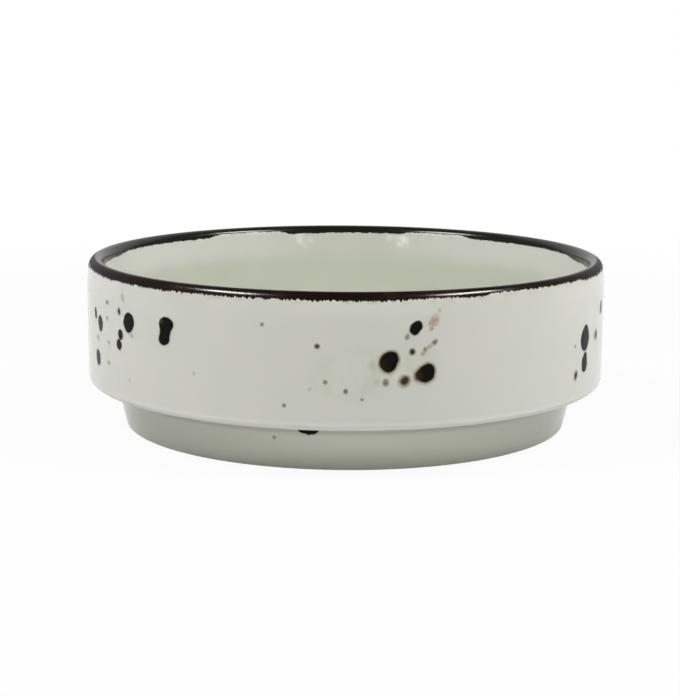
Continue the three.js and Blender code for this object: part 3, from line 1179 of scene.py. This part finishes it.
class Drop:
    """A drop of iron with its lobes and stains, where its nodes are."""

    def __init__(self, look):
        self.nodes = [f"iron_spot_{number:02d}" for number in look["nodes"]]
        self.name = f"iron_drop_{look['nodes'][0]:02d}"
        self.soft = look.get("soft", DROP_SOFT) * MM
        fringe_wide, self.fringe_strength = look.get("fringe", DROP_FRINGE)
        self.fringe_wide = fringe_wide * MM
        self.tone = look.get("tone", 0)
        self.edge = look.get("edge", 0)
        side, self.blush = look.get("blush", (0, 0))
        self.blush_way = Vector((math.sin(math.radians(side)), math.cos(math.radians(side))))
        self.lobes = [self.node_lobe(node, look) for node in self.nodes]
        across, up = self.lobes[0].across, self.lobes[0].up
        for dx, dy, wide, tall, lean in look.get("lobes", []):
            self.lobes.append(Lobe(across + dx * MM, up + dy * MM, wide * MM, tall * MM, lean))
        self.stains = []
        for dx, dy, wide, tall, dark, tone, soft in look.get("stains", []):
            oval = Lobe(across + dx * MM, up + dy * MM, wide * MM, tall * MM, look["lean"])
            self.stains.append((oval, dark, tone, soft * MM))
        self.across = sum(lobe.across for lobe in self.lobes) / len(self.lobes)
        self.up = sum(lobe.up for lobe in self.lobes) / len(self.lobes)
        chance = random.Random(DROP_SEED + look["nodes"][0])
        self.waves = [(k, chance.uniform(0, 2 * math.pi), chance.uniform(*WAVE_SIZES)) for k in DROP_WAVES]

    def node_lobe(self, node, look):
        """The oval that a node has on the unrolled wall."""
        low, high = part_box(node)
        centre = (low + high) / 2
        size = high - low
        bearing = math.atan2(centre.x, -centre.y)
        sine, cosine = abs(math.sin(bearing)), abs(math.cos(bearing))
        wide = math.hypot(size.x - CAD_SPOT_DEPTH * sine, size.y - CAD_SPOT_DEPTH * cosine)
        wider, taller = look.get("scale", (1, 1))
        dx, dy = look.get("shift", (0, 0))
        across = bearing * WALL_RADIUS + dx * MM
        up = OUTSIDE.length_at(centre.z) + dy * MM
        return Lobe(across, up, wide * wider, size.z * taller, look["lean"])

    def uneven(self, across, up):
        """How far the outline wanders out at a point's side of the drop."""
        angle = math.atan2(across - self.across, up - self.up)
        wander = sum(size / math.sqrt(k - 1) * math.sin(k * angle + start) for k, start, size in self.waves)
        return wander * DROP_UNEVEN * (self.lobes[0].half_wide + self.lobes[0].half_tall)

    def core_gap(self, across, up):
        """The gap to the thick iron of the drop."""
        return joined([lobe.gap(across, up) for lobe in self.lobes]) - self.uneven(across, up)

    def cover_gap(self, across, up):
        """The gap to everything of the drop, its stains too."""
        return min([self.core_gap(across, up)] + [stain[0].gap(across, up) for stain in self.stains])

    def outline(self, angle, grow):
        """The point where a line from the middle leaves the drop grown by a distance."""
        sine, cosine = math.sin(angle), math.cos(angle)
        near, far = 0, DROP_REACH
        while far - near > DROP_CLOSE:
            middle = (near + far) / 2
            if self.cover_gap(self.across + middle * sine, self.up + middle * cosine) < grow:
                near = middle
            else:
                far = middle
        return near * sine, near * cosine

    def tone_at(self, across, up):
        """The tone of the thick iron at a point, browner towards the side where it blushes."""
        away = Vector((across - self.across, up - self.up)).dot(self.blush_way)
        half = (self.lobes[0].half_wide + self.lobes[0].half_tall) / 2
        return self.tone + self.blush * ease(away / half, *BLUSH)

    def iron_at(self, across, up):
        """How much iron is in the glaze at a point: the thick drop, its thin fringe and its tone."""
        core = ease(-self.core_gap(across, up), -self.soft, self.soft)
        iron = core
        tone = self.edge + (self.tone_at(across, up) - self.edge) * core
        for oval, dark, stain_tone, soft in self.stains:
            share = ease(-oval.gap(across, up), -soft, soft)
            iron += (dark - iron) * share
            tone += (stain_tone - tone) * share
        fringe = self.fringe_strength * ease(-self.cover_gap(across, up), -self.fringe_wide - self.soft, 0)
        return iron, fringe, tone

    def rings(self):
        """The rings of its lens from the middle out: a share of the outline, its growth and its lift."""
        inside = [(share, -self.soft, 0) for share in LENS_SHARES]
        soft = [(1, self.soft * t, -PROUD * SOFT_FALL * (1 + t) / 2) for t in SOFT_STEPS]
        fringe = []
        for t in FRINGE_STEPS:
            fall = SOFT_FALL + (1 - SOFT_FALL) * t
            fringe.append((1, self.soft + self.fringe_wide * t, -PROUD * fall))
        sunk = (1, self.soft + self.fringe_wide + SUNK_WIDTH, -PROUD - SUNK)
        return inside + soft + fringe + [sunk]


def lens_faces(rings):
    """The faces of a lens, from a point on top over its rings to a point below, and the edges of its rim."""
    lowest = 1 + rings * DROP_SIDES
    outermost = lowest - DROP_SIDES
    faces = []
    rim = set()
    for i in range(DROP_SIDES):
        j = (i + 1) % DROP_SIDES
        faces.append((0, 1 + j, 1 + i))
        for a in range(1, outermost, DROP_SIDES):
            b = a + DROP_SIDES
            faces.append((a + i, a + j, b + j, b + i))
        faces.append((outermost + i, outermost + j, lowest))
        rim.add(frozenset((outermost + i, outermost + j)))
    return faces, rim


def drop_mesh(drop):
    """A closed lens that follows the glaze, with the iron in it as attributes."""
    places = []
    values = []

    def put(across, up, lift):
        places.append(on_outside(across / WALL_RADIUS, up, lift))
        values.append(drop.iron_at(across, up))

    put(drop.across, drop.up, 0)
    rings = drop.rings()
    for share, grow, lift in rings:
        for i in range(DROP_SIDES):
            dx, dy = drop.outline(2 * math.pi * i / DROP_SIDES, grow)
            put(drop.across + dx * share, drop.up + dy * share, lift)
    put(drop.across, drop.up, -IRON_DEPTH)
    faces, rim = lens_faces(len(rings))
    mesh = bpy.data.meshes.new(drop.name)
    mesh.from_pydata(places, [], faces)
    for i, key in enumerate(("iron", "fringe", "tone")):
        layer = mesh.attributes.new(key, "FLOAT", "POINT")
        layer.data.foreach_set("value", [v[i] for v in values])
    mesh.shade_smooth()
    sharp = mesh.attributes.new("sharp_edge", "BOOLEAN", "EDGE")
    sharp.data.foreach_set("value", [frozenset(e.vertices) in rim for e in mesh.edges])
    mesh.materials.append(IRON_DROPS)
    return mesh


def make_drops():
    """The drops of iron on the wall and the foot, a piece each."""
    for look in DROPS:
        drop = Drop(look)
        piece = bpy.data.objects.new(drop.name, drop_mesh(drop))
        bpy.context.scene.collection.objects.link(piece)
        face_outwards(piece)
        finished(piece, "iron_glaze", *drop.nodes)


# Specks of iron that are too small to be nodes. Each row: bearing in degrees, height in mm, width and height
# of the speck in mm, lean of its top to the right in degrees, how dark it is, its tone as for the drops, and
# how strong its thin halo is.
FRONT_SPECKS = [
    # the group at the left
    (-53.9, 30.6, 1.2, 1.5, -10, 1.0, 0.1, 0.5),
    (-59.5, 31.8, 1.3, 0.9, 0, 0.6, 0.0, 0.4),
    (-52.4, 33.8, 0.95, 1.5, -25, 0.15, 0.2, 0.35),
    (-49.0, 26.1, 1.2, 0.9, 0, 0.15, 0.0, 0.4),
    (-65.5, 23.0, 1.8, 1.0, 0, 0.2, 0.1, 0.3),
    (-59.2, 18.5, 1.3, 0.9, 0, 0.35, 0.0, 0.3),
    (-59.0, 23.0, 1.1, 0.9, 0, 0.35, 0.0, 0.3),
    (-59.7, 28.3, 1.2, 0.9, 0, 0.35, 0.0, 0.3),
    (-31.25, 20.5, 1.0, 0.9, 0, 0.1, 0.1, 0.25),
    (-50.1, 16.3, 1.0, 0.9, 0, 0.1, 0.1, 0.25),
    # strays across the middle
    (-16.2, 31.9, 0.75, 0.75, 0, 0.5, 0.1, 0.5),
    (-5.4, 27.9, 1.05, 0.95, 0, 0.9, 0.42, 0.7),
    (-3.8, 20.6, 0.9, 0.9, 0, 0.45, 0.1, 0.6),
    (0.15, 18.77, 0.8, 1.0, 0, 0.7, 0.15, 0.6),
    (-6.8, 19.1, 0.7, 0.7, 0, 0.1, 0.1, 0.35),
    (-11.8, 15.55, 0.8, 0.8, 0, 0.5, 0.1, 0.6),
    (3.3, 17.1, 0.65, 0.65, 0, 0.4, 0.1, 0.5),
    # the group just right of the middle
    (13.0, 26.68, 1.15, 1.25, 10, 1.0, 0.48, 0.8),
    (15.55, 27.03, 0.8, 1.1, 25, 0.4, 0.55, 0.6),
    (15.15, 26.33, 0.9, 1.1, 25, 0.1, 0.45, 0.5),
    (16.45, 27.63, 0.8, 1.9, 50, 0.05, 0.55, 0.5),
    (17.45, 28.43, 0.9, 1.4, 45, 0.5, 0.45, 0.65),
    (17.3, 32.78, 1.6, 2.3, 32, 0.0, 1.0, 0.78),
    (16.55, 32.43, 0.8, 1.2, 25, 0.3, 0.4, 0.5),
    (16.75, 31.33, 0.9, 1.1, 15, 0.2, 0.3, 0.45),
    (18.45, 34.83, 0.9, 1.2, 20, 0.05, 0.2, 0.3),
    (11.95, 29.73, 0.9, 1.2, 20, 0.35, 0.05, 0.6),
    (7.85, 20.53, 1.1, 1.4, 0, 0.45, 0.45, 0.7),
    (5.15, 24.23, 1.5, 1.9, 0, 0.0, 0.1, 0.24),
    (6.05, 20.73, 1.3, 1.3, 0, 0.0, 0.1, 0.24),
    # the group at the right
    (56.5, 16.86, 1.4, 1.9, 12, 1.0, 0.12, 0.6),
    (68.1, 23.9, 2.2, 2.1, 5, 1.0, 0.0, 0.5),
    (55.8, 23.36, 1.0, 0.9, 0, 0.3, 0.1, 0.4),
]

# One speck on the foot
FOOT_SPECKS = [(-15.95, 7.07, 0.75, 0.75, 0, 0.35, 0.1, 0.5)]

# Satellites round the drops at the back, for which the front's groups are the pattern, and strays
BACK_SEED = 5
BACK_NODES = range(16, 24)
BACK_SATELLITES = 3
BACK_STRAYS = 12

# How far a satellite lies from its drop, in mm up and in degrees round, which are about as long on this wall
SATELLITE_AWAY = (3.5, 6.5)

# Where strays lie, in degrees and mm, and the heights in mm between which a speck stays on the wall
STRAY_BEARINGS = (85, 275)
STRAY_HEIGHTS = (13.5, 34)
LOWEST_SPECK = 12.5
HIGHEST_SPECK = 35

# What they may be like: widths in mm, heights against widths, leans, how dark, tones and their halo
SPECK_WIDTHS = (0.7, 0.8, 0.95, 1.1, 1.5)
SPECK_HEIGHTS = (0.85, 1.3)
SPECK_LEANS = (-30, 30)
SPECK_DARKS = (0.1, 0.9)
SPECK_TONES = (0, 0.5)
SPECK_HALO = 0.6


def back_specks():
    """Rows like the front's, drawn by chance."""
    chance = random.Random(BACK_SEED)
    rows = []

    def speck(bearing, height):
        wide = chance.choice(SPECK_WIDTHS)
        dark = chance.uniform(*SPECK_DARKS)
        tall = wide * chance.uniform(*SPECK_HEIGHTS)
        lean = chance.uniform(*SPECK_LEANS)
        tone = chance.uniform(*SPECK_TONES)
        rows.append((bearing, height, wide, tall, lean, dark, tone, SPECK_HALO))

    for number in BACK_NODES:
        low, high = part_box(f"iron_spot_{number:02d}")
        centre = (low + high) / 2
        bearing = math.degrees(math.atan2(centre.x, -centre.y))
        for _ in range(BACK_SATELLITES):
            turn = chance.uniform(0, 2 * math.pi)
            away = chance.uniform(*SATELLITE_AWAY)
            speck(bearing + away * math.sin(turn), centre.z / MM + away * math.cos(turn))
    for _ in range(BACK_STRAYS):
        speck(chance.uniform(*STRAY_BEARINGS), chance.uniform(*STRAY_HEIGHTS))
    return [row for row in rows if LOWEST_SPECK < row[1] < HIGHEST_SPECK]


# A speck's lens is wider than the speck, because its edge is soft
SPECK_SPREAD = 1.85

# Its height over the glaze, how far its rim is sunk, where the rim is sharp, and how finely it is cut
SPECK_PROUD = 0.6 * PROUD
SPECK_SUNK = 0.15 * PROUD
SPECK_RIM = 0.999
SPECK_SEGMENTS = 14
SPECK_RINGS = 10

# Shares of its half width between which its iron and its halo come to their full strength
SPECK_IRON = (0.85, 0.2)
SPECK_FRINGE = (0.97, 0.2)


def speck_values(bearing, height, wide, tall, lean, dark, tone, halo):
    """What the point of a speck carries."""
    point, out = OUTSIDE.at(OUTSIDE.length_at(height * MM))
    return {
        "bearing": math.radians(bearing),
        "wide": wide * SPECK_SPREAD * MM,
        "tall": tall * SPECK_SPREAD * MM,
        "lean": math.radians(lean),
        "dark": dark,
        "tone": tone,
        "halo": halo,
        "radius": point.x - PROUD,
        "height": point.y,
        "tilt": math.asin(-out.y),
    }


def speck_points():
    """The specks as points that carry their own sizes."""
    specks = [speck_values(*row) for row in [*FRONT_SPECKS, *back_specks(), *FOOT_SPECKS]]
    mesh = bpy.data.meshes.new("specks")
    mesh.from_pydata([(0, 0, 0)] * len(specks), [], [])
    for name in specks[0]:
        layer = mesh.attributes.new(name, "FLOAT", "POINT")
        layer.data.foreach_set("value", [speck[name] for speck in specks])
    return mesh


def named_value(tree, name):
    """A value that points carry, read in a geometry tree."""
    return add(tree, "GeometryNodeInputNamedAttribute", {"Name": name}, data_type="FLOAT").outputs[0]


def speck_lens(tree, proud, depth):
    """A closed lens of half width 1, its edge just under the glaze, that keeps how far out its rings are."""
    size = {"Segments": SPECK_SEGMENTS, "Rings": SPECK_RINGS, "Radius": 1.0}
    ball = add(tree, "GeometryNodeMeshUVSphere", size).outputs["Mesh"]
    parts = parts_of(tree, tree.nodes.new("GeometryNodeInputPosition").outputs[0])
    ball = store(tree, ball, "ring", length_of(tree, place_of(tree, parts["X"], parts["Y"])))
    ring = named_value(tree, "ring")
    rise = maths(tree, "SUBTRACT", 1, maths(tree, "MULTIPLY", ring, ring))
    above = maths(tree, "MULTIPLY_ADD", rise, proud, -SPECK_SUNK)
    below = maths(tree, "MULTIPLY_ADD", rise, maths(tree, "MULTIPLY", depth, -1), -SPECK_SUNK)
    upper = maths(tree, "GREATER_THAN", parts["Z"], 0)
    lifted = maths(tree, "MULTIPLY_ADD", upper, maths(tree, "SUBTRACT", above, below), below)
    lens = set_places(tree, ball, place_of(tree, parts["X"], parts["Y"], lifted))
    edge = maths(tree, "GREATER_THAN", ring, SPECK_RIM)
    return store(tree, lens, "sharp_edge", edge, "BOOLEAN", "EDGE")


def speck_tree():
    """Sets a lens of iron at each speck, turned to face out of the wall, in the speck's own size."""
    tree, given = geometry_tree(
        "scattered_specks",
        [("Proud", "NodeSocketFloat"), ("Depth", "NodeSocketFloat"), ("Finish", "NodeSocketMaterial")],
    )
    get = given.outputs
    bearing = named_value(tree, "bearing")
    place = round_axis(tree, bearing, named_value(tree, "radius"), named_value(tree, "height"))
    upright = maths(tree, "ADD", named_value(tree, "tilt"), math.pi / 2)
    half_wide = maths(tree, "DIVIDE", named_value(tree, "wide"), 2)
    half_tall = maths(tree, "DIVIDE", named_value(tree, "tall"), 2)
    set_out = add(
        tree,
        "GeometryNodeInstanceOnPoints",
        {
            "Points": set_places(tree, get["Geometry"], place),
            "Instance": speck_lens(tree, get["Proud"], get["Depth"]),
            "Rotation": place_of(tree, upright, named_value(tree, "lean"), bearing),
            "Scale": place_of(tree, half_wide, half_tall, 1),
        },
    )
    real = add(tree, "GeometryNodeRealizeInstances", {"Geometry": set_out.outputs[0]}).outputs[0]
    ring = named_value(tree, "ring")
    iron = maths(tree, "MULTIPLY", named_value(tree, "dark"), ramp(tree, ring, *SPECK_IRON))
    fringe = maths(tree, "MULTIPLY", named_value(tree, "halo"), ramp(tree, ring, *SPECK_FRINGE))
    real = store(tree, real, "iron", iron)
    real = store(tree, real, "fringe", fringe)
    end_tree(tree, real, get["Finish"])
    return tree


def make_specks():
    """All the specks, in one piece."""
    values = {"Proud": SPECK_PROUD, "Depth": IRON_DEPTH, "Finish": IRON_DROPS}
    piece = with_nodes("iron_specks", speck_points(), speck_tree(), values)
    finished(piece, "iron_glaze")


# The studio

WHITE = (1, 1, 1, 1)

# The floor: how far it reaches, how finely it is cut and its colour under light
FLOOR_REACH = 6.0
FLOOR_SIDES = 64
FLOOR_PALE = (0.58, 0.58, 0.57, 1)

# How much of its shading the camera sees close to the dish, and the distances over which that goes
SHADOW_SHARE = 0.06
SHADOW_NEAR = 0.16
SHADOW_FAR = 0.4

# From and to where on the way to the back glossy things begin to mirror the floor as white, and cease to
TABLE_START = (-0.06, 0.02)
TABLE_END = (1.2, 0.7)


def make_floor():
    """A pale round floor that keeps the dish's shadow, and that the camera sees nearly white."""
    mesh = bpy.data.meshes.new("floor")
    turns = [2 * math.pi * i / FLOOR_SIDES for i in range(FLOOR_SIDES)]
    corners = [(FLOOR_REACH * math.cos(turn), FLOOR_REACH * math.sin(turn), 0) for turn in turns]
    mesh.from_pydata(corners, [], [range(FLOOR_SIDES)])
    floor = bpy.data.objects.new("floor", mesh)
    bpy.context.scene.collection.objects.link(floor)
    material = bpy.data.materials.new("floor")
    material.use_nodes = True
    tree = material.node_tree
    tree.nodes.clear()
    lit = add(tree, "ShaderNodeBsdfDiffuse", {"Color": FLOOR_PALE})
    white = add(tree, "ShaderNodeEmission", {"Color": WHITE, "Strength": 1.0})
    path = tree.nodes.new("ShaderNodeLightPath").outputs
    place = tree.nodes.new("ShaderNodeTexCoord").outputs["Object"]
    plain = ramp(tree, length_of(tree, place), SHADOW_NEAR, SHADOW_FAR, 1 - SHADOW_SHARE, 1)
    back = parts_of(tree, place)["Y"]
    behind = maths(tree, "MULTIPLY", ramp(tree, back, *TABLE_START), ramp(tree, back, *TABLE_END))
    mirrored = maths(tree, "MULTIPLY", path["Is Glossy Ray"], behind)
    share = maths(tree, "MULTIPLY", maths(tree, "MAXIMUM", path["Is Camera Ray"], mirrored), plain)
    seen = add(tree, "ShaderNodeMixShader", {0: share, 1: lit.outputs[0], 2: white.outputs[0]})
    result = tree.nodes.new("ShaderNodeOutputMaterial")
    tree.links.new(seen.outputs[0], result.inputs["Surface"])
    mesh.materials.append(material)


# How bright the room, its ceiling and the backdrop are
ROOM = 0.25
CEILING = 0.08
BACKDROP = 0.5

# How far back a way points where the backdrop starts, and how far up where it ends and the ceiling starts
BACKDROP_START = (0.0, 0.4)
BACKDROP_END = (0.75, 0.35)
CEILING_START = (0.35, 0.85)


def make_world():
    """A dim room with a white backdrop behind the dish; the camera and clear things see white all round."""
    world = bpy.data.worlds.new("studio")
    bpy.context.scene.world = world
    world.use_nodes = True
    tree = world.node_tree
    tree.nodes.clear()
    way = parts_of(tree, tree.nodes.new("ShaderNodeTexCoord").outputs["Generated"])
    behind = ramp(tree, way["Y"], *BACKDROP_START)
    low = ramp(tree, way["Z"], *BACKDROP_END)
    backdrop = maths(tree, "MULTIPLY", behind, low)
    path = tree.nodes.new("ShaderNodeLightPath").outputs
    room = ramp(tree, way["Z"], *CEILING_START, ROOM, CEILING)
    lit = maths(tree, "MULTIPLY", backdrop, maths(tree, "SUBTRACT", 1, path["Is Glossy Ray"]))
    light = maths(tree, "MAXIMUM", room, maths(tree, "MULTIPLY", lit, BACKDROP))
    clear = maths(tree, "MAXIMUM", path["Is Camera Ray"], path["Is Transmission Ray"])
    strength = maths(tree, "MAXIMUM", light, clear)
    shown = add(tree, "ShaderNodeBackground", {"Color": WHITE, "Strength": strength})
    result = tree.nodes.new("ShaderNodeOutputWorld")
    tree.links.new(shown.outputs[0], result.inputs["Surface"])


# The lamps. Each row: name, bearing and elevation in degrees, distance, width and height in metres, power in
# watts, whether glossy things mirror it and whether it lights matt ones.
LAMPS = [
    ("left_softbox", -67, 51, 0.9, 0.3, 0.14, 5.9, True, True),
    ("right_softbox", 71, 52, 0.9, 0.36, 0.14, 6.1, True, True),
    ("front_softbox", 14, 24, 1.0, 1.0, 0.5, 1.6, False, True),
    ("rear_softbox", 180, 28, 0.175, 0.185, 0.18, 0.052, True, False),
]


def softbox(name, bearing, elevation, distance, wide, tall, power, mirrored, lights):
    """An oblong lamp that faces the dish, and that the camera doesn't see."""
    data = bpy.data.lights.new(name, "AREA")
    data.shape = "RECTANGLE"
    data.size = wide
    data.size_y = tall
    data.energy = power
    lamp = bpy.data.objects.new(name, data)
    level = math.cos(math.radians(elevation))
    bearing = math.radians(bearing)
    way = Vector((level * math.sin(bearing), -level * math.cos(bearing), math.sin(math.radians(elevation))))
    lamp.location = way * distance
    lamp.rotation_euler = way.to_track_quat("Z", "Y").to_euler()
    lamp.visible_camera = False
    lamp.visible_glossy = mirrored
    lamp.visible_diffuse = lights
    bpy.context.scene.collection.objects.link(lamp)


def make_lamps():
    """The lamps of the studio."""
    for row in LAMPS:
        softbox(*row)


def make_camera():
    """The camera, where the photograph was taken from."""
    data = bpy.data.cameras.new("camera")
    data.sensor_width = SENSOR
    data.lens = FOCAL_PIXELS / FRAME_LONG_SIDE * SENSOR
    data.clip_start = CLIP_START
    turn = Matrix.Rotation(-CAMERA_YAW, 3, "Z") @ Matrix.Rotation(math.pi / 2 - CAMERA_PITCH, 3, "X")
    turn = turn @ Matrix.Rotation(CAMERA_ROLL, 3, "Z")
    camera = bpy.data.objects.new("camera", data)
    camera.location = CAMERA_PLACE
    camera.rotation_euler = turn.to_euler()
    bpy.context.scene.collection.objects.link(camera)
    bpy.context.scene.camera = camera


make_camera()
make_body()
make_pale_coats()
make_band()
make_drops()
make_specks()
make_floor()
make_world()
make_lamps()
bpy.context.scene.view_settings.view_transform = "Standard"
